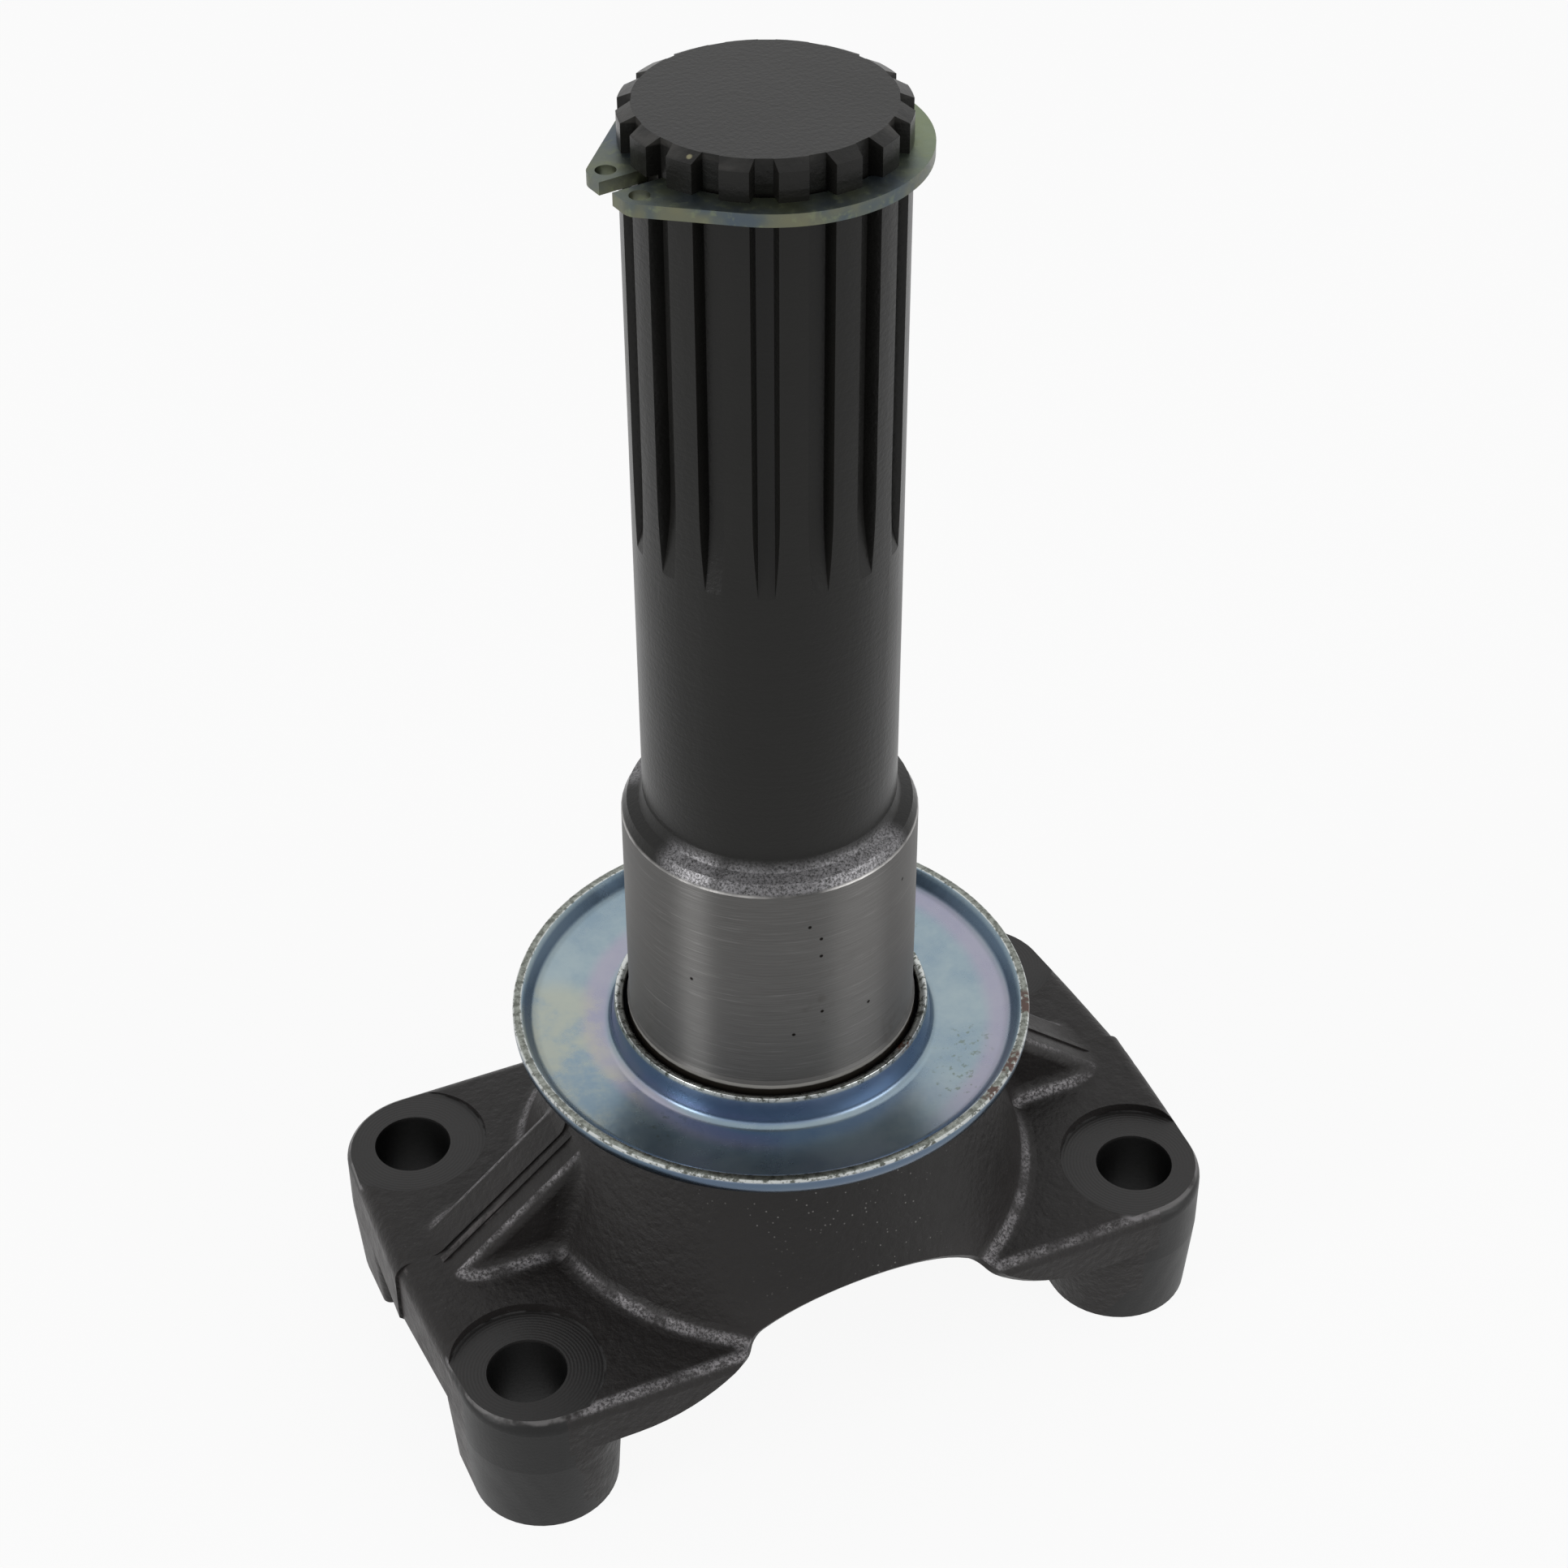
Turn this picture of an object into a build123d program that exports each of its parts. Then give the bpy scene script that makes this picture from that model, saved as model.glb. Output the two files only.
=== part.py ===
from build123d import *
import os
from math import cos, isclose, radians, sin, sqrt, tan

# A wing-type universal-joint yoke, standing on its four legs with the stub shaft up. Z is the
# shaft's axis, the ears lie along X, and the origin is on the axis in the plane of the feet.
# All sizes are in millimetres.

os.makedirs("parts", exist_ok=True)

# Bolt pattern and the machined faces round the holes
bolt_spacing_x = 88.9
bolt_spacing_y = 44.7
bolt_hole_d = 10.4
spotface_r = 10.2
spotface_z = 20.5

# Ears
pad_z = 22.0
ear_underside_z = 11.4
ear_draft = 2.5
ear_end_x = 54.4
ear_half_depth = 32.3
ear_corner_r = 10.5
pad_edge_r = 2.2

# Legs under the ears' corners
leg_draft = 4.0
leg_inner_y = 13.2
leg_corner_r = 2.0
leg_overlap = 3.6

# Gusset rib on top of each ear
rib_width = 11.0
rib_foot_x = 48.2
rib_slope = 39.5
rib_edge_r = 1.6
rib_drop = 4.0

# Arch that clears the cross of the joint
arch_r = 22.2
arch_centre_z = 3.6
arch_lip_r = 24.0
arch_edge = 1.0

# Trimmed flash on the ribs' crests, and the shift between the two die halves
flash_y = -1.2
flash_width = 1.0
flash_height = 0.3
die_shift = 0.45

# Hub, a cone from the shield seat down to the arch
hub_top_z = 45.4
hub_top_r = 27.5
hub_half_angle = 15.6
blend_r = 2.8

# Dust shield, a pressed ring on the seat above the hub
shield_sheet = 1.15
shield_rim_r = 34.0
shield_rim_z = 50.0
shield_lip_flare = 1.5
shield_floor_rise = 1.0
shield_lip_straight = 2.0
collar_bore_r = 19.4
collar_top_z = 51.0
collar_flare = 0.7
collar_edge_drop = 0.5
shield_seat_clearance = 0.03

# Seat, journal, shoulder and neck
seat_top_z = 49.0
seat_step = 0.5
journal_r = 18.6
journal_base_z = 52.1
journal_top_z = 82.4
shoulder_chamfer_r = 0.9
shoulder_chamfer_z = 1.6
neck_fillet_r = 2.0

# Splined end
shaft_r = 15.875
shaft_top_z = 177.7
spline_count = 16
spline_phase = -114.8
spline_depth = 1.65
space_width_top = 3.1
space_width_floor = 1.9
cutter_r = 40.0
cutter_swing = 20.0
spline_length = 53.5
end_chamfer_r = 1.55
end_chamfer_z = 0.8

# Snap ring and its groove
ring_thickness = 1.5
ring_set_back = 4.2
ring_groove_r = 14.6
ring_clearance = 0.05
ring_outer_r = 17.35
ring_offset_x = 0.3
ring_offset_y = -1.15
lug_angle = 189.0
lug_gap = 2.7
lug_width = 4.1
lug_hole_x = 18.6
lug_hole_d = 2.3

# Places worked out from the sizes above
spline_tip_z = shaft_top_z - spline_length
ring_top_z = shaft_top_z - ring_set_back
ring_bottom_z = ring_top_z - ring_thickness
leg_y = ear_half_depth - ear_corner_r
leg_x = ear_end_x - leg_y * tan(radians(ear_draft)) - ear_corner_r / cos(radians(ear_draft))
hub_foot_r = hub_top_r + hub_top_z * tan(radians(hub_half_angle))

# One spline space: a straight run to the shaft's end, and the arc where the cutter leaves
spline_floor_r = shaft_r - spline_depth
full_depth_z = spline_tip_z + sqrt(cutter_r**2 - (cutter_r - spline_depth) ** 2)
with BuildPart() as spline_space:
    with BuildSketch(Plane.XY.offset(full_depth_z)):
        with BuildLine():
            mouth_r = shaft_r + spline_depth
            half_floor = space_width_floor / 2
            half_mouth = space_width_top - half_floor
            Polyline(
                (spline_floor_r, -half_floor),
                (mouth_r, -half_mouth),
                (mouth_r, half_mouth),
                (spline_floor_r, half_floor),
                close=True,
            )
        make_face()
    extrude(amount=shaft_top_z - full_depth_z + spline_depth)
    revolve(
        faces().sort_by(Axis.Z)[0],
        axis=Axis((spline_floor_r + cutter_r, 0, full_depth_z), (0, 1, 0)),
        revolution_arc=-cutter_swing,
    )

# The four legs: round in front, flat towards the middle, and drafted down to their feet
with BuildPart() as legs:
    with BuildSketch(Plane.XY.offset(ear_underside_z)) as leg_plan:
        with GridLocations(2 * leg_x, 2 * leg_y, 2, 2):
            Circle(ear_corner_r)
        with GridLocations(2 * leg_x, 0, 2, 1):
            Rectangle(2 * ear_corner_r, 2 * leg_y)
        Rectangle(2 * ear_end_x, 2 * leg_inner_y, mode=Mode.SUBTRACT)
        corner_limit = leg_inner_y + leg_corner_r
        fillet(leg_plan.vertices().filter_by_position(Axis.Y, -corner_limit, corner_limit), leg_corner_r)
    extrude(amount=-ear_underside_z, taper=leg_draft)
    extrude(leg_plan.sketch, amount=leg_overlap)

with BuildPart() as yoke:
    # Both ears as one slab, its top crowned so that both dies draw off it
    pad_edge_z = pad_z - ear_half_depth * tan(radians(ear_draft))
    with BuildSketch(Plane.YZ):
        with BuildLine():
            Polyline(
                (-ear_half_depth, pad_edge_z),
                (-ear_half_depth, 0),
                (ear_half_depth, 0),
                (ear_half_depth, pad_edge_z),
            )
            ThreePointArc(
                (ear_half_depth, pad_edge_z),
                (0, pad_z),
                (-ear_half_depth, pad_edge_z),
            )
        make_face()
    extrude(amount=ear_end_x, both=True)
    with BuildSketch(Plane.XZ):
        Rectangle(2 * ear_end_x, 4 * pad_z)
    extrude(amount=ear_half_depth, both=True, taper=ear_draft, mode=Mode.INTERSECT)
    fillet(edges().filter_by(Axis.Z).filter_by(lambda e: abs(e.center().Y) > leg_y), ear_corner_r)
    fillet(faces().sort_by(Axis.Z)[-1].edges(), pad_edge_r)

    # Gusset ribs, from the ears' ends up into the hub
    rib_rise = tan(radians(rib_slope))
    rib_top_z = hub_top_z - rib_drop
    rib_top_x = rib_foot_x - (rib_top_z - pad_z) / rib_rise
    root_x = rib_foot_x + rib_drop
    root_z = pad_z - rib_drop * rib_rise
    with BuildSketch(Plane.XZ) as rib_profile:
        with BuildLine():
            Polyline(
                (-root_x, root_z),
                (-rib_top_x, rib_top_z),
                (rib_top_x, rib_top_z),
                (root_x, root_z),
                close=True,
            )
        make_face()
    extrude(amount=rib_width / 2, both=True)
    crest_sine = sin(radians(rib_slope))
    crests = edges().filter_by(lambda e: isclose(abs(e.tangent_at(0.5).Z), crest_sine, abs_tol=1e-6))
    fillet(crests, rib_edge_r)

    # Hub cone, blended into the ears and the ribs
    with BuildSketch(Plane.XZ):
        with BuildLine():
            Polyline(
                (0, 0),
                (hub_foot_r, 0),
                (hub_top_r, hub_top_z),
                (0, hub_top_z),
                close=True,
            )
        make_face()
    revolve(axis=Axis.Z)
    joins = edges().filter_by_position(Axis.Z, pad_edge_z, hub_top_z - blend_r)
    toe_x = rib_foot_x + rib_edge_r
    joins = joins.filter_by_position(Axis.X, -toe_x, toe_x)
    joins = joins.filter_by_position(Axis.Y, -leg_y, leg_y)
    fillet(joins.filter_by(lambda e: e.geom_type != GeomType.LINE or e.center().Z < pad_z + rib_drop), blend_r)

    # Flash left by the trimming die along the ribs' crests
    with BuildSketch(Plane.XZ.offset(-flash_y)):
        add(rib_profile.sketch_local)
        offset(amount=flash_height, kind=Kind.INTERSECTION)
    extrude(amount=flash_width / 2, both=True)

    # Arch through the head, from front to back, and the undersides of the ears beside it
    with BuildSketch(Plane.XZ) as opening:
        with Locations((0, arch_centre_z)):
            Circle(arch_r)
        with Locations((0, ear_underside_z / 2 - pad_z / 2)):
            Rectangle(4 * ear_end_x, ear_underside_z + pad_z)
        lips = opening.vertices().filter_by_position(Axis.X, -arch_r, arch_r)
        fillet(lips.filter_by_position(Axis.Y, 0, pad_z), arch_lip_r)
    extrude(amount=hub_foot_r, both=True, taper=-ear_draft, mode=Mode.SUBTRACT)
    rims = edges(Select.LAST).filter_by(Axis.Z, reverse=True)
    chamfer(rims.filter_by(lambda e: abs(e.center().Y) > ear_half_depth / 2), arch_edge)
    add(legs.part)

    # The front die sat a little to the right of the back one
    front = split(bisect_by=Plane.XZ, keep=Keep.TOP, mode=Mode.PRIVATE)
    back = split(bisect_by=Plane.XZ, keep=Keep.BOTTOM, mode=Mode.PRIVATE)
    add(front.moved(Location((die_shift / 2, 0, 0))), mode=Mode.REPLACE)
    add(back.moved(Location((-die_shift / 2, 0, 0))))

    # Spotfaces and bolt holes
    with BuildSketch(Plane.XY.offset(spotface_z)):
        with GridLocations(bolt_spacing_x, bolt_spacing_y, 2, 2):
            Circle(spotface_r)
    extrude(amount=hub_top_z - spotface_z, mode=Mode.SUBTRACT)
    with GridLocations(bolt_spacing_x, bolt_spacing_y, 2, 2):
        Hole(bolt_hole_d / 2)

    # Seat, journal, shoulder, neck and splined end, turned in one piece
    seat_r = collar_bore_r - shield_seat_clearance
    relief_r = seat_r - seat_step
    shoulder_top_z = journal_top_z + shoulder_chamfer_z
    shoulder_r = journal_r - shoulder_chamfer_r
    neck_inset = neck_fillet_r * (1 - sqrt(0.5))
    groove_z = ring_bottom_z - ring_clearance
    with BuildSketch(Plane.XZ):
        with BuildLine():
            Polyline(
                (0, pad_z),
                (seat_r, pad_z),
                (seat_r, seat_top_z - seat_step),
                (relief_r, seat_top_z),
                (relief_r, journal_base_z - seat_step),
                (journal_r, journal_base_z),
                (journal_r, journal_top_z),
                (shoulder_r, shoulder_top_z),
                (shaft_r + neck_fillet_r, shoulder_top_z),
            )
            Polyline(
                (shaft_r + neck_fillet_r, shoulder_top_z),
                (shaft_r + neck_inset, shoulder_top_z + neck_inset),
                (shaft_r, shoulder_top_z + neck_fillet_r),
                (shaft_r, groove_z),
                (ring_groove_r, groove_z),
                (ring_groove_r, ring_top_z),
                (shaft_r, ring_top_z),
                (shaft_r, shaft_top_z - end_chamfer_z),
                (shaft_r - end_chamfer_r, shaft_top_z),
                (0, shaft_top_z),
                (0, pad_z),
            )
        make_face()
    revolve(axis=Axis.Z)
    with PolarLocations(0, spline_count, start_angle=spline_phase):
        add(spline_space.part, mode=Mode.SUBTRACT)

yoke.part.label = "yoke"
export_step(yoke.part, "parts/yoke.step")

# Dust shield: one sheet drawn up into a collar at the bore and a lip at the rim
with BuildPart() as dust_shield:
    collar_outer_r = collar_bore_r + shield_sheet
    foot_r = collar_outer_r + collar_flare
    floor_z = hub_top_z + shield_sheet
    lip_foot_r = shield_rim_r - shield_sheet - shield_lip_flare
    with BuildSketch(Plane.XZ):
        with BuildLine():
            Polyline(
                (collar_bore_r, hub_top_z),
                (foot_r, hub_top_z),
                (lip_foot_r + shield_sheet, hub_top_z + shield_floor_rise),
                (shield_rim_r, shield_rim_z - shield_lip_straight),
                (shield_rim_r, shield_rim_z),
                (shield_rim_r - shield_sheet, shield_rim_z),
                (lip_foot_r, floor_z + shield_floor_rise),
                (foot_r, floor_z),
                (collar_outer_r, collar_top_z),
                (collar_bore_r, collar_top_z - collar_edge_drop),
                close=True,
            )
        make_face()
    revolve(axis=Axis.Z)

dust_shield.part.label = "dust_shield"
export_step(dust_shield.part, "parts/dust_shield.step")

# Snap ring: an external circlip, its outline drawn tight round the rim and the two lugs
with BuildPart() as snap_ring:
    ring_place = Location((ring_offset_x, ring_offset_y, ring_bottom_z), (0, 0, lug_angle))
    lug_y = (lug_gap + lug_width) / 2
    with BuildSketch(Plane(ring_place)) as ring_outline:
        Circle(ring_outer_r)
        with Locations((lug_hole_x, -lug_y), (lug_hole_x, lug_y)):
            Circle(lug_width / 2)
        make_hull(ring_outline.edges())
        with Locations((lug_hole_x, 0)):
            Rectangle(2 * lug_width, lug_gap, mode=Mode.SUBTRACT)
        with Locations((lug_hole_x, -lug_y), (lug_hole_x, lug_y)):
            Circle(lug_hole_d / 2, mode=Mode.SUBTRACT)
    extrude(amount=ring_thickness)
    with BuildSketch(Plane.XY.offset(ring_bottom_z)):
        Circle(ring_groove_r + ring_clearance)
    extrude(amount=ring_thickness, mode=Mode.SUBTRACT)

snap_ring.part.label = "snap_ring"
export_step(snap_ring.part, "parts/snap_ring.step")
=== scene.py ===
import math

import bmesh
import bpy
from mathutils import Euler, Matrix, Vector


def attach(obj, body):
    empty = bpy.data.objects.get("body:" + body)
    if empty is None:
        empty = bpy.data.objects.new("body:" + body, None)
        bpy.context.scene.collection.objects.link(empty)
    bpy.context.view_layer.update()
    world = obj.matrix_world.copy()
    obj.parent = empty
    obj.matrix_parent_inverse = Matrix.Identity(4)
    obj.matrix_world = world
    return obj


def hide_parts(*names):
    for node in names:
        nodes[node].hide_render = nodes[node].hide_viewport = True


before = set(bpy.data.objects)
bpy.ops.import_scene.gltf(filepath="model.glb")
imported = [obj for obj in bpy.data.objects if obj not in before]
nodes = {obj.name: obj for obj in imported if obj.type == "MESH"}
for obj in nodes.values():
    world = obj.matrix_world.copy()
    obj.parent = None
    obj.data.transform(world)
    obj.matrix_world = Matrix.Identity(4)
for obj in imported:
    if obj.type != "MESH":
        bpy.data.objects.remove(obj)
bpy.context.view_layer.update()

# Yoke. One steel forging, phosphated and oiled black, its shaft and shoulder turned, its journal
# ground and its four bolt seats milled. It is one piece with four finishes, so each face of its
# mesh gets the finish that its surface was left with.
yoke = nodes["yoke"]
seat_x = 0.04445
seat_y = 0.02235
seat_r = 0.0102
seat_z = 0.0205
journal_r = 0.0186
journal_low_z = 0.0521
foot_step = 0.0006
journal_top_z = 0.0824
turned_r = 0.0196
turned_low_z = 0.0453
shoulder_top_z = 0.0866
shaft_end_z = 0.1777
hair = 0.0001


def node_bench(tree, shader):
    """Helpers that add a node to the tree and feed a socket, which may be a name on the shader."""
    def feed(socket, value):
        if isinstance(socket, str):
            socket = shader.inputs[socket]
        if isinstance(value, bpy.types.NodeSocket):
            tree.links.new(value, socket)
        else:
            socket.default_value = value

    def add(kind, *inputs, **settings):
        node = tree.nodes.new(kind)
        for key, value in settings.items():
            setattr(node, key, value)
        for socket, value in zip(node.inputs, inputs):
            feed(socket, value)
        return node

    return add, feed


def new_finish(name):
    """A new material, with the helpers for its nodes."""
    finish = bpy.data.materials.new(name)
    finish.use_nodes = True
    return finish, *node_bench(finish.node_tree, finish.node_tree.nodes["Principled BSDF"])


def where_on_part(add):
    """The place, its x, y and z, its distance from the shaft's axis, and how the surface faces."""
    place = add("ShaderNodeTexCoord").outputs["Object"]
    x, y, z = add("ShaderNodeSeparateXYZ", place).outputs
    flat = add("ShaderNodeCombineXYZ", x, y).outputs[0]
    radius = add("ShaderNodeVectorMath", flat, operation="LENGTH").outputs["Value"]
    facing = add("ShaderNodeSeparateXYZ", add("ShaderNodeNewGeometry").outputs["Normal"]).outputs
    return place, x, y, z, radius, facing


def calc(add, operation, *values):
    """The output of a Math node."""
    return add("ShaderNodeMath", *values, operation=operation).outputs[0]


def fade(add, value, none, full):
    """0 where the value is at or past none, 1 where it is at or past full, smooth in between."""
    spread = add("ShaderNodeMapRange", value, none, full, 0.0, 1.0, interpolation_type="SMOOTHSTEP")
    return spread.outputs[0]


def overlap(add, *masks):
    """The product of the masks."""
    product = masks[0]
    for mask in masks[1:]:
        product = calc(add, "MULTIPLY", product, mask)
    return product


def either(add, *masks):
    """The larger of the masks."""
    largest = masks[0]
    for mask in masks[1:]:
        largest = calc(add, "MAXIMUM", largest, mask)
    return largest


def wash(add, mask, under, over):
    """The colour under where the mask is 0 and the colour over where it is 1."""
    node = add("ShaderNodeMix", data_type="RGBA")
    for socket, value in ((node.inputs[0], mask), (node.inputs[6], under), (node.inputs[7], over)):
        if isinstance(value, bpy.types.NodeSocket):
            node.id_data.links.new(value, socket)
        else:
            socket.default_value = (*value, 1.0)
    return node.outputs[2]


def coat(add, mask, share, under, over):
    """As wash, with the colour over only as thick as the share."""
    return wash(add, calc(add, "MULTIPLY", mask, share), under, over)


def grain(add, place, scale, detail=2.0, rough=0.5):
    """The value of a Noise texture."""
    node = add("ShaderNodeTexNoise")
    node.inputs["Scale"].default_value = scale
    node.inputs["Detail"].default_value = detail
    node.inputs["Roughness"].default_value = rough
    node.id_data.links.new(place, node.inputs["Vector"])
    return node.outputs[0]


def round_the_shaft(add, place, girth, height):
    """The place, scaled so that grain turns into lines round the shaft."""
    node = add("ShaderNodeMapping", place)
    node.inputs["Scale"].default_value = (girth, girth, height)
    return node.outputs[0]


def specks(add, place, scale, share, size):
    """1 on small round specks, in the given share of the cells."""
    cells = add("ShaderNodeTexVoronoi")
    cells.inputs["Scale"].default_value = scale
    cells.id_data.links.new(place, cells.inputs["Vector"])
    drawn = add("ShaderNodeSeparateColor", cells.outputs["Color"]).outputs[0]
    return overlap(add, calc(add, "GREATER_THAN", drawn, 1 - share),
                   fade(add, cells.outputs["Distance"], size, size * 0.5))


def close_to(add, place, points, reach):
    """1 close to any of the points, fading out at the reach."""
    gaps = [add("ShaderNodeVectorMath", place, point, operation="DISTANCE").outputs["Value"]
            for point in points]
    return either(add, *(fade(add, gap, reach, reach * 0.45) for gap in gaps))


def from_bolt_hole(add, x, y):
    """The distance from the axis of the nearest bolt hole."""
    off_x = calc(add, "SUBTRACT", calc(add, "ABSOLUTE", x), seat_x)
    off_y = calc(add, "SUBTRACT", calc(add, "ABSOLUTE", y), seat_y)
    flat = add("ShaderNodeCombineXYZ", off_x, off_y).outputs[0]
    return add("ShaderNodeVectorMath", flat, operation="LENGTH").outputs["Value"]


def relief(add, feed, height, strength, depth):
    """Bumps from a height value, as deep as the depth in metres."""
    bump = add("ShaderNodeBump")
    bump.inputs["Strength"].default_value = strength
    bump.inputs["Distance"].default_value = depth
    bump.id_data.links.new(height, bump.inputs["Height"])
    feed("Normal", bump.outputs[0])


# Forged skin: black scale, with painted light on the ears' ends and painted shade on the hub.
forged, add, feed = new_finish("forged_skin")
place, x, y, z, radius, facing = where_on_part(add)
rise = facing[2]
turned_away = calc(add, "ABSOLUTE", facing[1])
ear_facing = calc(add, "ABSOLUTE", facing[0])
scale_marks = grain(add, place, 420.0, 5.0, 0.62)
pits = grain(add, place, 1500.0, 3.0, 0.6)
clouds = grain(add, place, 38.0, 3.0, 0.6)
skin = wash(add, clouds, (0.0118, 0.0104, 0.0100), (0.0200, 0.0178, 0.0172))
# Painted light: the ears' ends, which face the light from the side, are paler.
lit_ear_end = overlap(add, fade(add, ear_facing, 0.85, 0.97), fade(add, radius, 0.048, 0.050))
skin = coat(add, lit_ear_end, 0.3, skin, (0.050, 0.043, 0.043))
# Painted shade: the hub is darker, all but its left side, which faces the light.
shaded_hub = overlap(add, fade(add, radius, 0.0365, 0.0335), fade(add, z, 0.024, 0.030),
              fade(add, facing[0], -0.85, -0.35))
skin = coat(add, shaded_hub, 0.45, skin, (0.006, 0.0055, 0.005))

# Grey sparkle where the blends were shot blasted, with a painted highlight on them where they face up to the
# light, and a painted highlight along the brink of each seat.
off_hole = from_bolt_hole(add, x, y)
brink_highlight = overlap(add, fade(add, off_hole, seat_r + 0.0008, seat_r + 0.0003),
                fade(add, z, seat_z - 0.00065, seat_z - 0.0003), fade(add, z, seat_z + 0.0003, seat_z),
                fade(add, grain(add, place, 330.0, 3.0), 0.40, 0.55), fade(add, rise, 0.2, 0.4))
uneven = fade(add, grain(add, place, 210.0, 3.0, 0.6), 0.33, 0.60)
crumbs = fade(add, grain(add, place, 2600.0, 3.0, 0.75), 0.38, 0.60)
fillets = overlap(add, fade(add, rise, 0.50, 0.76), fade(add, rise, 0.98, 0.88),
                  fade(add, turned_away, 0.1, 0.3), fade(add, off_hole, seat_r - 0.0007, seat_r))
blasted_and_highlight = overlap(add, fillets, calc(add, "MULTIPLY_ADD", uneven, 0.85, 0.15),
                  calc(add, "MULTIPLY_ADD", crumbs, 0.85, 0.15))
sparkle_and_highlight = either(add, blasted_and_highlight, calc(add, "MULTIPLY", brink_highlight, 0.9))
skin = wash(add, sparkle_and_highlight, skin, (0.20, 0.192, 0.198))

# The trimmed flash on the left rib's crest, with a painted highlight on its lit face and a painted shadow
# beside it where its step casts shade.
wander = calc(add, "MULTIPLY_ADD", grain(add, place, 260.0, 3.0), 0.0022, -0.0011)
seam_y = calc(add, "ADD", calc(add, "ADD", y, wander), 0.0012)
flash_shadow_y = calc(add, "SUBTRACT", seam_y, 0.0011)
crest = overlap(add, fade(add, rise, 0.70, 0.75), fade(add, rise, 0.90, 0.82),
                fade(add, turned_away, 0.12, 0.06), fade(add, x, -0.037, -0.042))
lit_flash = overlap(add, crest, fade(add, calc(add, "ABSOLUTE", seam_y), 0.0008, 0.0003),
               fade(add, scale_marks, 0.40, 0.54))
flash_shadow = overlap(add, crest, fade(add, calc(add, "ABSOLUTE", flash_shadow_y), 0.0004, 0.0002),
                fade(add, x, -0.040, -0.043))
# Painted highlight on the flash, then the painted shadow beside it.
skin = coat(add, lit_flash, 0.6, skin, (0.11, 0.10, 0.10))
skin = coat(add, flash_shadow, 0.8, skin, (0.003, 0.003, 0.003))

# Fine glints in patches, most of them on the hub, over a skin as rough as orange peel.
glints = overlap(add, specks(add, place, 1600.0, 0.30, 0.24),
                 fade(add, grain(add, place, 48.0, 2.0), 0.48, 0.62),
                 calc(add, "MULTIPLY_ADD", shaded_hub, 0.8, 0.2))
skin = coat(add, glints, 0.9, skin, (0.16, 0.155, 0.15))
feed("Base Color", skin)
feed("Metallic", calc(add, "MULTIPLY", either(add, blasted_and_highlight, glints), 0.75))
feed("Roughness", calc(add, "MULTIPLY_ADD", scale_marks, 0.3, 0.34))
feed("Specular IOR Level", 0.27)
pebbles = calc(add, "MULTIPLY_ADD", grain(add, place, 1000.0, 2.0, 0.5), 0.7, scale_marks)
relief(add, feed, calc(add, "MULTIPLY_ADD", pits, 0.25, pebbles), 0.6, 0.00032)

# Turned skin: the splined end, the neck and the shoulder. The shoulder has painted highlights in
# places, and the land where it meets the journal is rubbed bright.
turned, add, feed = new_finish("turned_skin")
place, x, y, z, radius, facing = where_on_part(add)
clouds = grain(add, place, 50.0, 3.0, 0.6)
pits = grain(add, place, 1700.0, 3.0, 0.6)
skin = wash(add, clouds, (0.0075, 0.0073, 0.0066), (0.0115, 0.0111, 0.0100))
shoulder = overlap(add, fade(add, z, journal_top_z, journal_top_z + 0.0005),
                   fade(add, z, shoulder_top_z - 0.0002, shoulder_top_z - 0.0022))
shoulder_highlight_at = ((-0.0148, -0.0093, 0.0838), (-0.0098, -0.0152, 0.0829), (-0.0055, -0.0172, 0.0829),
             (-0.0010, -0.0180, 0.0829), (0.0035, -0.0177, 0.0829), (0.0080, -0.0160, 0.0831),
             (0.0170, 0.0040, 0.0834), (0.0030, 0.0172, 0.0832), (-0.0125, 0.0120, 0.0834))
shoulder_highlight = overlap(add, shoulder, close_to(add, place, shoulder_highlight_at, 0.0058),
                 fade(add, grain(add, place, 3200.0, 3.0, 0.75), 0.25, 0.66))
skin = coat(add, shoulder_highlight, 0.85, skin, (0.27, 0.265, 0.275))
land = overlap(add, fade(add, z, journal_top_z + 0.0004, journal_top_z + 0.0001),
               fade(add, z, journal_top_z - 0.0004, journal_top_z - 0.0002),
               calc(add, "MULTIPLY_ADD", fade(add, grain(add, place, 120.0, 3.0), 0.35, 0.65), 0.8, 0.15))
skin = wash(add, land, skin, (0.44, 0.43, 0.42))

# The chamfers on the spline's teeth, one of them chipped.
chamfers = overlap(add, fade(add, z, shaft_end_z - 0.0009, shaft_end_z - 0.0006),
                   fade(add, facing[2], 0.98, 0.9))
worn_chamfers = overlap(add, chamfers, fade(add, grain(add, place, 150.0, 3.0), 0.42, 0.62))
skin = wash(add, worn_chamfers, skin, (0.045, 0.043, 0.040))
chip = overlap(add, chamfers, close_to(add, place, ((-0.0124, -0.0086, 0.1773),), 0.0004))
skin = wash(add, chip, skin, (0.30, 0.28, 0.17))

# The relief inside the shield's collar: dirt at its bottom, and a painted highlight at the journal's foot.
dirty = overlap(add, fade(add, z, journal_low_z - 0.0031, journal_low_z - 0.0029),
                fade(add, z, journal_low_z - 0.0010, journal_low_z - 0.0013))
skin = wash(add, dirty, skin, (0.018, 0.015, 0.012))
foot_highlight = overlap(add, fade(add, z, journal_low_z - 0.0012, journal_low_z - 0.0009),
               fade(add, z, journal_low_z + 0.0007, journal_low_z + 0.0003))
skin = coat(add, foot_highlight, 0.9, skin, (0.36, 0.35, 0.33))
feed("Base Color", skin)
feed("Metallic", calc(add, "MULTIPLY", either(add, shoulder_highlight, land), 0.7))
feed("Roughness", calc(add, "MULTIPLY_ADD", clouds, 0.16, 0.25))
feed("Specular IOR Level", 0.22)
tool_lines = grain(add, round_the_shaft(add, place, 30.0, 1800.0), 1.0, 3.0)
relief(add, feed, calc(add, "MULTIPLY_ADD", tool_lines, 0.6, pits), 0.22, 0.0002)

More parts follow.
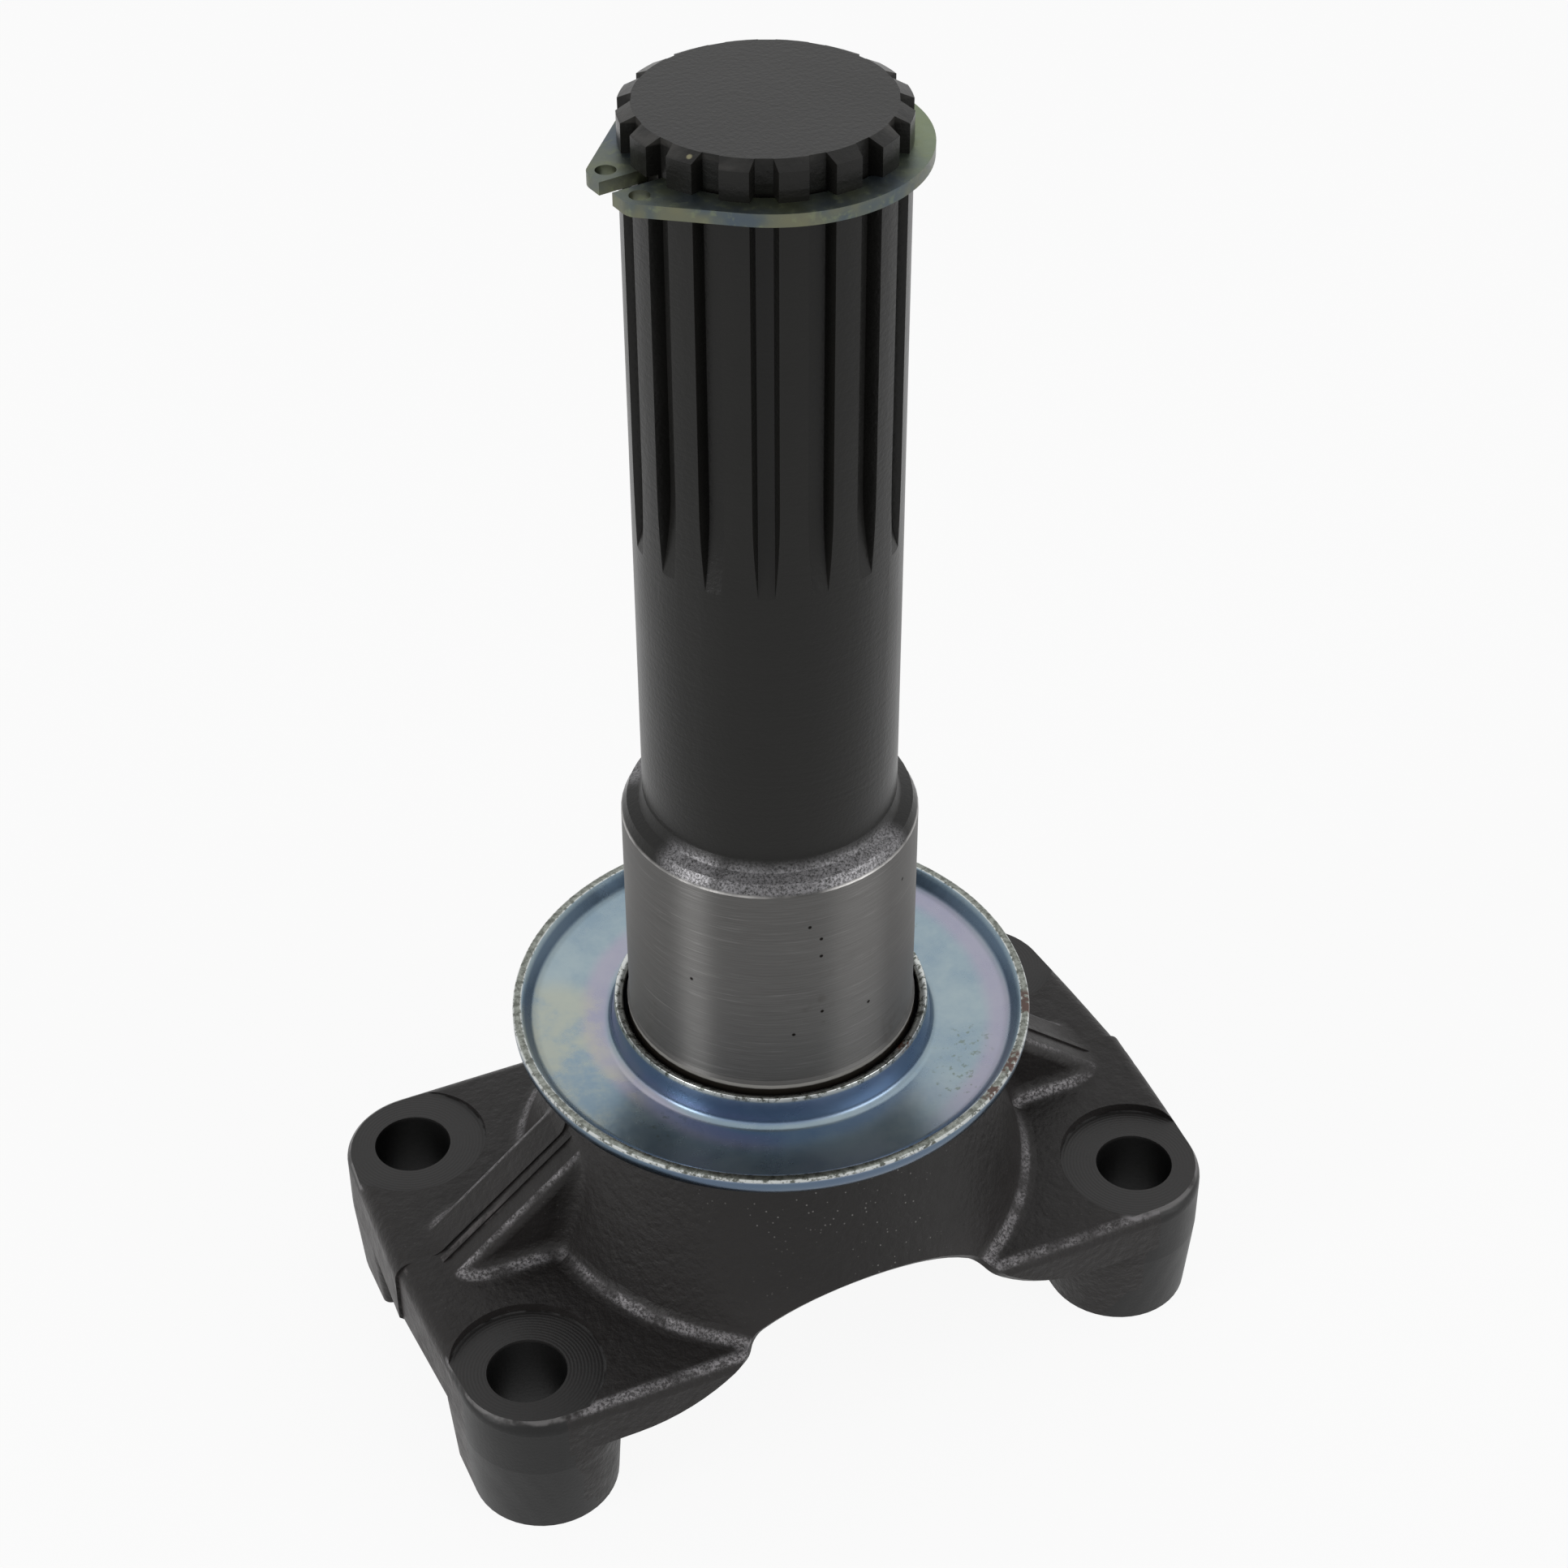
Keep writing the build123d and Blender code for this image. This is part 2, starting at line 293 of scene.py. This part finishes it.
# Ground journal: bare steel, finely lined round its girth, with a few pits and stains.
ground, add, feed = new_finish("ground_journal")
place, x, y, z, radius, facing = where_on_part(add)
marks = grain(add, round_the_shaft(add, place, 150.0, 9000.0), 1.0, 5.0, 0.7)
bands = grain(add, round_the_shaft(add, place, 110.0, 4000.0), 1.0, 3.0, 0.6)
steel = wash(add, marks, (0.075, 0.073, 0.070), (0.180, 0.177, 0.174))
steel = coat(add, fade(add, bands, 0.56, 0.76), 0.5, steel, (0.25, 0.245, 0.24))
stains = overlap(add, fade(add, grain(add, place, 95.0, 4.0, 0.65), 0.60, 0.70), fade(add, z, 0.074, 0.060))
steel = coat(add, stains, 0.45, steel, (0.070, 0.062, 0.052))
pits_at = ((-0.00295, -0.01836, 0.07728), (-0.00149, -0.01854, 0.07505), (-0.00148, -0.01854, 0.07227),
           (-0.01543, -0.01039, 0.06708), (0.01138, -0.01472, 0.07719))
clustered_at = ((-0.00131, -0.01855, 0.06305), (0.00549, -0.01777, 0.06145), (-0.00492, -0.01794, 0.05993))
peppered = overlap(add, specks(add, place, 900.0, 0.05, 0.22), close_to(add, place, clustered_at, 0.0024))
pitting = either(add, close_to(add, place, pits_at + clustered_at, 0.00032), peppered)
steel = wash(add, pitting, steel, (0.012, 0.010, 0.009))
feed("Base Color", steel)
feed("Metallic", 1.0)
feed("Roughness", calc(add, "MULTIPLY_ADD", marks, 0.14, 0.40))
feed("Anisotropic", 0.95)
feed("Anisotropic Rotation", 0.25)
relief(add, feed, calc(add, "SUBTRACT", marks, calc(add, "MULTIPLY", pitting, 2.0)), 0.10, 0.0001)

# Milled seats and bores: cutter rings round each hole, a rubbed edge, a painted highlight along the brink, and
# the bores painted near black as shade.
milled, add, feed = new_finish("milled_seat")
place, x, y, z, radius, facing = where_on_part(add)
off_hole = from_bolt_hole(add, x, y)
cutter_rings = calc(add, "SINE", calc(add, "MULTIPLY", off_hole, 14000.0))
clouds = grain(add, place, 160.0, 3.0, 0.6)
skin = wash(add, clouds, (0.0170, 0.0160, 0.0158), (0.0250, 0.0235, 0.0230))
edge = overlap(add, fade(add, off_hole, seat_r - 0.0004, seat_r - 0.0001),
               fade(add, grain(add, place, 500.0, 2.0), 0.4, 0.6))
skin = coat(add, edge, 0.5, skin, (0.15, 0.15, 0.15))
# A painted highlight along the seat's brink, on the faces that slope up.
brink_highlight = overlap(add, fade(add, facing[2], 0.9998, 0.998), fade(add, facing[2], 0.1, 0.3),
                fade(add, z, seat_z - 0.0008, seat_z - 0.0003),
                fade(add, grain(add, place, 330.0, 3.0), 0.38, 0.52))
skin = coat(add, brink_highlight, 0.8, skin, (0.17, 0.165, 0.165))
# Painted shade: the bores, below the seat, are near black.
clear_of_bore_shade = fade(add, z, seat_z - 0.0006, seat_z - 0.0002)
feed("Base Color", wash(add, clear_of_bore_shade, (0.0035, 0.0035, 0.0035), skin))
feed("Roughness", calc(add, "MULTIPLY_ADD", clouds, 0.15, 0.36))
feed("Specular IOR Level", 0.33)
milling = calc(add, "MULTIPLY_ADD", cutter_rings, 0.35, grain(add, place, 2200.0, 2.0))
relief(add, feed, milling, 0.15, 0.00015)

# Each face gets its finish by where it lies. The small step at the journal's foot is ground too.
finishes = (forged, turned, ground, milled)
yoke.material_slots[0].material = forged
for finish in finishes[1:]:
    yoke.data.materials.append(finish)
for face in yoke.data.polygons:
    corners = [yoke.data.vertices[i].co for i in face.vertices]
    reach = [corner.xy.length for corner in corners]
    heights = [corner.z for corner in corners]
    off_holes = [math.hypot(abs(corner.x) - seat_x, abs(corner.y) - seat_y) for corner in corners]
    at_journal = min(heights) > journal_low_z - foot_step and max(heights) < journal_top_z + hair
    if at_journal and min(reach) > journal_r - hair:
        face.material_index = finishes.index(ground)
    elif min(heights) > turned_low_z and max(reach) < turned_r:
        face.material_index = finishes.index(turned)
    elif max(off_holes) < seat_r + hair and max(heights) < seat_z + hair:
        face.material_index = finishes.index(milled)

# Dust shield. A sheet-steel pressing, zinc plated with a bluish iridescent passivation, pushed
# down its collar onto the seat above the hub. Its section is drawn ring by ring, from the
# collar's foot out under the pan, over the rim and back, and its bends are rounded.
collar_bore_r = 0.0194
collar_foot_r = 0.02125
collar_top_z = 0.0510
underside_z = 0.0454
rim_outer_r = 0.0340
rim_inner_r = 0.03285
rim_top_z = 0.0500
same_place = 0.00002

# Each corner of the section: radius, height.
sheet_section = ((collar_foot_r, underside_z), (0.0325, 0.0464), (rim_outer_r, 0.0480),
                 (rim_outer_r, rim_top_z), (rim_inner_r, rim_top_z), (0.03135, 0.04755),
                 (collar_foot_r, 0.04655), (0.02055, collar_top_z), (collar_bore_r, 0.0505),
                 (collar_bore_r, underside_z))

# Each bend: radius, height, width of the rounding, steps in it.
bends = ((collar_foot_r, 0.04655, 0.0011, 4), (0.03135, 0.04755, 0.0009, 4), (0.0325, 0.0464, 0.0012, 4),
         (rim_outer_r, 0.0480, 0.0008, 3), (rim_outer_r, rim_top_z, 0.00028, 2),
         (rim_inner_r, rim_top_z, 0.00028, 2), (0.02055, collar_top_z, 0.0002, 2),
         (collar_bore_r, 0.0505, 0.0002, 2))
bpy.ops.object.select_all(action="DESELECT")
bpy.ops.mesh.primitive_circle_add(vertices=192, radius=collar_bore_r, location=(0.0, 0.0, underside_z))
shield = bpy.context.object
shield.name = "pressed_shield"
bpy.ops.object.transform_apply(location=True)
bpy.ops.object.mode_set(mode="EDIT")
bpy.ops.mesh.select_all(action="SELECT")
here_r, here_z = collar_bore_r, underside_z
for there_r, there_z in sheet_section:
    bpy.ops.mesh.extrude_edges_move(TRANSFORM_OT_translate={"value": (0.0, 0.0, there_z - here_z)})
    bpy.ops.transform.resize(value=(there_r / here_r, there_r / here_r, 1.0), center_override=(0.0, 0.0, 0.0))
    here_r, here_z = there_r, there_z
bpy.ops.mesh.select_all(action="SELECT")
bpy.ops.mesh.remove_doubles(threshold=same_place / 2)
bpy.ops.mesh.normals_make_consistent(inside=False)
for bend_r, bend_z, width, steps in bends:
    bpy.ops.mesh.select_all(action="DESELECT")
    edit = bmesh.from_edit_mesh(shield.data)
    for rim in edit.edges:
        if all(abs(end.co.xy.length - bend_r) < same_place and abs(end.co.z - bend_z) < same_place
               for end in rim.verts):
            rim.select_set(True)
    bmesh.update_edit_mesh(shield.data)
    bpy.ops.mesh.bevel(offset=width, segments=steps, affect="EDGES")
bpy.ops.mesh.select_all(action="SELECT")
bpy.ops.mesh.normals_make_consistent(inside=False)
bpy.ops.object.mode_set(mode="OBJECT")
bpy.ops.object.shade_smooth_by_angle(angle=math.radians(35))

# Zinc plate: the film's thickness drifts, so blue turns to pink, straw and violet.
zinc, add, feed = new_finish("zinc_plate")
place, x, y, z, radius, facing = where_on_part(add)
mottle = grain(add, place, 90.0, 5.0, 0.65)
tint = grain(add, place, 32.0, 3.0, 0.5)
film = calc(add, "MULTIPLY_ADD", tint, 0.0060, calc(add, "SUBTRACT", radius, 0.0030))
plate = wash(add, fade(add, mottle, 0.25, 0.75), (0.185, 0.255, 0.315), (0.290, 0.355, 0.380))
pink_out = overlap(add, fade(add, film, 0.0270, 0.0292), fade(add, film, 0.0318, 0.0302),
                   fade(add, x, 0.006, 0.018))
pink_in = overlap(add, fade(add, film, 0.0213, 0.0226), fade(add, film, 0.0262, 0.0240),
                  fade(add, x, -0.006, -0.014))
plate = coat(add, either(add, pink_out, pink_in), 0.5, plate, (0.34, 0.275, 0.37))
straw_at = ((-0.0262, 0.0105, 0.0472), (-0.0280, 0.0045, 0.0472), (-0.0275, -0.0050, 0.0472))
straw = overlap(add, close_to(add, place, straw_at, 0.0085), fade(add, mottle, 0.36, 0.56))
plate = coat(add, straw, 0.5, plate, (0.40, 0.39, 0.28))
violet = overlap(add, fade(add, y, -0.016, -0.024), fade(add, tint, 0.38, 0.60))
plate = coat(add, violet, 0.45, plate, (0.24, 0.24, 0.38))
scuffed_at = ((0.0205, -0.0160, 0.0473), (0.0165, -0.0220, 0.0473),
              (0.0215, 0.0085, 0.0472), (-0.0215, -0.0150, 0.0472))
scuffs = overlap(add, fade(add, grain(add, place, 1000.0, 3.0, 0.6), 0.58, 0.66),
                 close_to(add, place, scuffed_at, 0.0050))
plate = coat(add, scuffs, 0.6, plate, (0.13, 0.16, 0.12))

# The lip is deep blue below its cut edge, and the collar a brighter blue.
lip = overlap(add, fade(add, radius, 0.0314, 0.0318), fade(add, z, rim_top_z - 0.0002, rim_top_z - 0.0008))
plate = coat(add, lip, 0.8, plate, (0.07, 0.11, 0.165))
collar = overlap(add, fade(add, radius, 0.0216, 0.0210),
                 fade(add, z, collar_top_z - 0.0005, collar_top_z - 0.0010))
plate = coat(add, collar, 0.75, plate, (0.135, 0.20, 0.35))

# The cut edges of the rim and the collar, scuffed through to grey, with rust in a few places.
rim_top = overlap(add, fade(add, radius, 0.0328, 0.0330), fade(add, z, rim_top_z - 0.0006, rim_top_z - 0.0003))
rim_corners = either(add, fade(add, radius, 0.03375, 0.03390), fade(add, radius, 0.03310, 0.03297))
collar_top = overlap(add, fade(add, radius, 0.0207, 0.0206),
                     fade(add, z, collar_top_z - 0.0008, collar_top_z - 0.0006))
cut_edge = either(add, rim_top, collar_top)
nicks = grain(add, place, 1100.0, 4.0, 0.7)
bare = wash(add, fade(add, nicks, 0.36, 0.62), (0.105, 0.112, 0.098), (0.255, 0.27, 0.245))
bare = wash(add, overlap(add, rim_corners, fade(add, nicks, 0.40, 0.52)), bare, (0.52, 0.54, 0.53))
plate = wash(add, cut_edge, plate, bare)
rust_at = ((0.0295, -0.0161, 0.0500), (0.0301, -0.0148, 0.0500), (0.0224, -0.0250, 0.0500),
           (0.0234, -0.0241, 0.0500), (0.0181, -0.0287, 0.0500), (0.0116, -0.0165, 0.0508))
rust = overlap(add, cut_edge, close_to(add, place, rust_at, 0.0021),
               fade(add, grain(add, place, 900.0, 3.0, 0.6), 0.40, 0.52))
plate = wash(add, rust, plate, (0.085, 0.030, 0.016))
feed("Base Color", plate)
feed("Metallic", calc(add, "SUBTRACT", 1.0, rust))
feed("Roughness", calc(add, "MULTIPLY_ADD", mottle, 0.16, 0.20))
relief(add, feed, calc(add, "MULTIPLY_ADD", nicks, 0.15, grain(add, place, 300.0, 4.0, 0.6)), 0.10, 0.0002)
shield.data.materials.append(zinc)
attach(shield, "root")
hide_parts("dust_shield")

# Snap ring. Stamped spring steel with a yellow-green chromate over its zinc, sprung into the
# groove below the end of the splines.
ring = nodes["snap_ring"]
chromate, add, feed = new_finish("chromated_spring_steel")
place, x, y, z, radius, facing = where_on_part(add)
drift = grain(add, place, 90.0, 3.0, 0.6)
fine = grain(add, place, 900.0, 3.0, 0.6)
film = wash(add, fade(add, drift, 0.35, 0.65), (0.070, 0.090, 0.110), (0.125, 0.140, 0.085))
green_side = overlap(add, fade(add, x, 0.008, 0.016), fade(add, facing[2], 0.5, 0.9))
film = coat(add, green_side, 0.5, film, (0.22, 0.28, 0.15))
edge_film = overlap(add, fade(add, facing[2], 0.5, 0.2), fade(add, y, 0.004, -0.008),
                    fade(add, drift, 0.40, 0.55))
film = coat(add, edge_film, 0.6, film, (0.17, 0.165, 0.105))
film = coat(add, fade(add, fine, 0.52, 0.70), 0.35, film, (0.20, 0.23, 0.13))
feed("Base Color", film)
feed("Metallic", 0.85)
feed("Roughness", calc(add, "MULTIPLY_ADD", fine, 0.25, 0.26))
relief(add, feed, fine, 0.12, 0.0002)
ring.material_slots[0].material = chromate

# Camera, where the photograph was taken from.
tilt = (51.68840585, 0.10891219, -24.47390429)
camera_data = bpy.data.cameras.new("camera")
camera_data.lens = 69.0591
camera_data.sensor_width = 36.0
camera_data.clip_start = 0.01
camera = bpy.data.objects.new("camera", camera_data)
camera.location = (-0.1197008, -0.2683482, 0.3174989)
camera.rotation_euler = Euler([math.radians(angle) for angle in tilt], "XYZ")
bpy.context.scene.collection.objects.link(camera)
bpy.context.scene.camera = camera

# White paper floor. It shows as white to the camera and in reflections, apart from a share that
# takes the object's shadow.
bpy.ops.object.select_all(action="DESELECT")
bpy.ops.mesh.primitive_plane_add(size=6.0, location=(0.0, 0.0, -0.0002))
floor = bpy.context.object
floor.name = "floor"
paper, add, feed = new_finish("floor")
feed("Base Color", (0.9, 0.9, 0.9, 1.0))
feed("Roughness", 0.9)
feed("Specular IOR Level", 0.0)


def seen_as_white(add):
    """1 for camera, glossy and transmission rays."""
    rays = add("ShaderNodeLightPath").outputs
    return either(add, rays["Is Camera Ray"], rays["Is Glossy Ray"], rays["Is Transmission Ray"])


white = add("ShaderNodeEmission", (1.0, 1.0, 1.0, 1.0), 1.0).outputs[0]
lit_paper = paper.node_tree.nodes["Principled BSDF"].outputs[0]
sheet = add("ShaderNodeMixShader", calc(add, "MULTIPLY", seen_as_white(add), 0.92), lit_paper, white)
paper.node_tree.links.new(sheet.outputs[0], paper.node_tree.nodes["Material Output"].inputs["Surface"])
floor.data.materials.append(paper)

# Soft studio light: a faint wide box high behind the object, a narrow one low on its left that
# draws the streak down the journal, a broad low one on its right, and a white room.
aim = Vector((0.0, 0.0, 0.06))


def soft_box(name, azimuth, elevation, distance, size, radiance):
    """A lit rectangle turned towards the object; angles in degrees, strength as its face's radiance."""
    data = bpy.data.lights.new(name, "AREA")
    data.shape = "RECTANGLE"
    data.size, data.size_y = size
    data.energy = radiance * math.pi * size[0] * size[1]
    lamp = bpy.data.objects.new(name, data)
    turn, lift = math.radians(azimuth), math.radians(elevation)
    flat = distance * math.cos(lift)
    lamp.location = aim + Vector((flat * math.cos(turn), flat * math.sin(turn), distance * math.sin(lift)))
    lamp.rotation_euler = (aim - lamp.location).to_track_quat("-Z", "Y").to_euler()
    bpy.context.scene.collection.objects.link(lamp)


soft_box("back_box", 65.0, 58.0, 1.2, (1.5, 0.95), 0.2)
soft_box("left_box", -169.0, 15.0, 1.0, (0.34, 0.5), 5.0)
soft_box("right_box", -50.0, 16.0, 1.0, (0.7, 0.5), 2.4)

# The room, white to the camera and in reflections, and dimmer as a light.
room = bpy.data.worlds.new("studio")
room.use_nodes = True
add, feed = node_bench(room.node_tree, room.node_tree.nodes["Background"])
feed("Color", (1.0, 1.0, 1.0, 1.0))
feed("Strength", calc(add, "MULTIPLY_ADD", seen_as_white(add), 0.60, 0.40))
bpy.context.scene.world = room
bpy.context.scene.view_settings.view_transform = "Standard"
